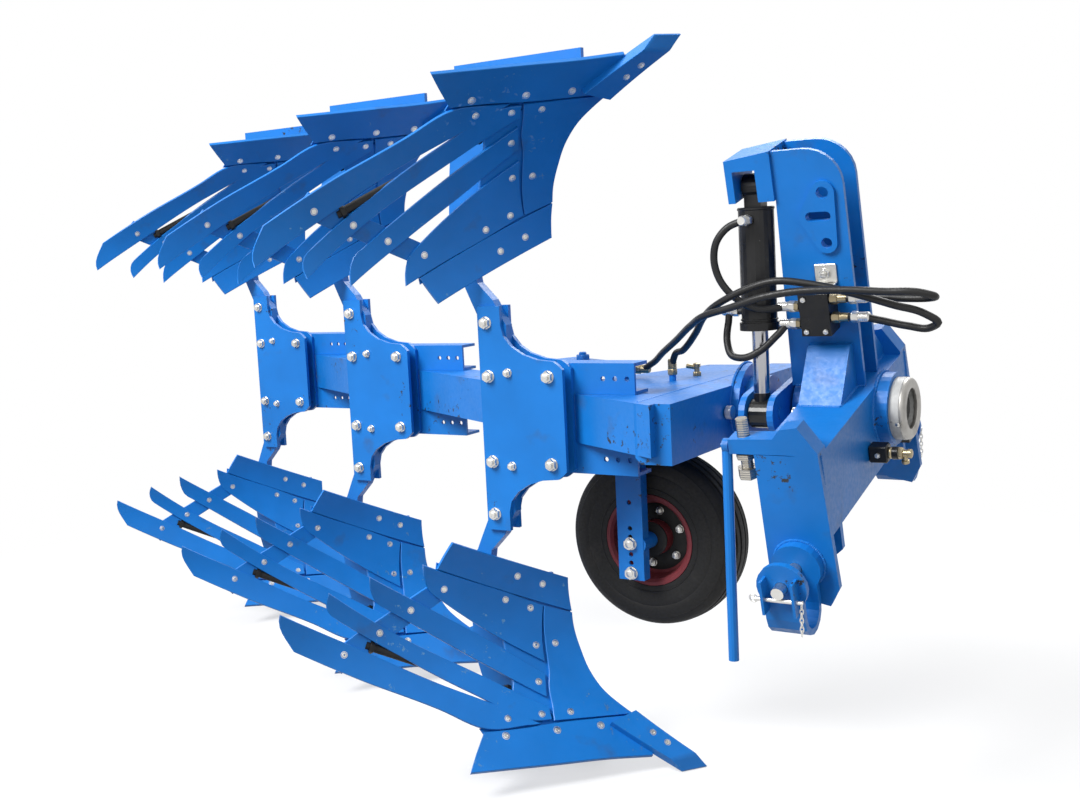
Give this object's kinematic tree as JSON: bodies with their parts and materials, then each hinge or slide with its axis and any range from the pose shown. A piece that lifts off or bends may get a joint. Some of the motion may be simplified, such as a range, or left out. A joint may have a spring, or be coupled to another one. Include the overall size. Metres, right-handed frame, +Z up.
{
  "type": "reversible mouldboard plough",
  "caption": "Mounted reversible plough with slatted mouldboards above and below an oblique beam, turned over by a hydraulic cylinder in its headstock, with a depth wheel.",
  "frame": {"origin": "centre of the spindle cap's front face, on the axis about which the frame turns over", "axes": "+X forward, towards the tractor, along the turnover axis; +Y to the left of the travel; +Z up"},
  "size_m": [2.9747, 1.8068, 1.8036],
  "materials": {
    "blue_paint": "glossy blue paint with light handling wear",
    "worn_paint": "pale, worn to the steel round the ring",
    "zinc": "zinc plated",
    "black_steel": "satin black paint",
    "chrome": "hard chrome, polished",
    "red_paint": "dull dark red paint",
    "hose_rubber": "matt black hydraulic hose",
    "tyre_rubber": "matt black tread rubber"
  },
  "bodies": {
    "headstock": {"crossarm": "blue_paint", "spindle_cap": "worn_paint", "mast_near": "blue_paint", "mast_far": "blue_paint", "mast_head": "blue_paint", "hitch_near": "blue_paint", "hitch_far": "blue_paint", "link_pin_near": "zinc", "link_pin_far": "zinc", "stop_bolt_near": "zinc", "stop_bolt_far": "zinc", "valve_block": "black_steel", "coupler": "black_steel", "hose_barrel_top": "hose_rubber", "hose_barrel_low": "hose_rubber", "hose_frame_out": "hose_rubber", "hose_frame_back": "hose_rubber"},
    "plough_frame": {"main_frame": "blue_paint", "yoke": "blue_paint", "wheel_leg": "blue_paint", "clamp_near_1": "blue_paint", "clamp_near_2": "blue_paint", "clamp_near_3": "blue_paint", "clamp_far_1": "blue_paint", "clamp_far_2": "blue_paint", "clamp_far_3": "blue_paint", "channel_lower_1": "blue_paint", "channel_lower_2": "blue_paint", "channel_lower_3": "blue_paint", "channel_upper_1": "blue_paint", "channel_upper_2": "blue_paint", "channel_upper_3": "blue_paint", "shank_lower_1": "blue_paint", "shank_lower_2": "blue_paint", "shank_lower_3": "blue_paint", "shank_upper_1": "blue_paint", "shank_upper_2": "blue_paint", "shank_upper_3": "blue_paint", "share_lower_1": "blue_paint", "share_lower_2": "blue_paint", "share_lower_3": "blue_paint", "share_upper_1": "blue_paint", "share_upper_2": "blue_paint", "share_upper_3": "blue_paint", "mouldboard_lower_1": "blue_paint", "mouldboard_lower_2": "blue_paint", "mouldboard_lower_3": "blue_paint", "mouldboard_upper_1": "blue_paint", "mouldboard_upper_2": "blue_paint", "mouldboard_upper_3": "blue_paint"},
    "cylinder": {"cylinder_barrel": "black_steel"},
    "piston": {"cylinder_rod": "chrome"},
    "stand": {"stand_rod": "blue_paint"},
    "wheel": {"wheel_rim": "red_paint", "wheel_tyre": "tyre_rubber"}
  },
  "joints": [
    {"name": "turnover", "type": "hinge", "parent": "headstock", "child": "plough_frame", "pos_m": [0, 0, 0], "axis": [1, 0, 0], "range_deg": [-150, 0], "deforming": ["hose_frame_out", "hose_frame_back"]},
    {"name": "cylinder_swing", "type": "hinge", "parent": "headstock", "child": "cylinder", "pos_m": [-0.308, -0.14313, 0.53416], "axis": [1, 0, 0], "range_deg": [0, 28.5], "deforming": ["hose_barrel_top", "hose_barrel_low"]},
    {"name": "rod_stroke", "type": "slide", "parent": "cylinder", "child": "piston", "axis": [0, -0.0133, 0.9999], "range_m": [0, 0.1172]},
    {"name": "stand_swing", "type": "hinge", "parent": "headstock", "child": "stand", "pos_m": [-0.273, -0.43445, -0.02841], "axis": [1, 0, 0], "range_deg": [-90, 0]},
    {"name": "wheel_spin", "type": "hinge", "parent": "plough_frame", "child": "wheel", "pos_m": [-0.634, -0.04, -0.34], "axis": [0, 1, 0], "continuous": true}
  ],
  "couplings": [
    {"joint": "cylinder_swing", "follows": "turnover", "ratio": -0.18981}
  ]
}
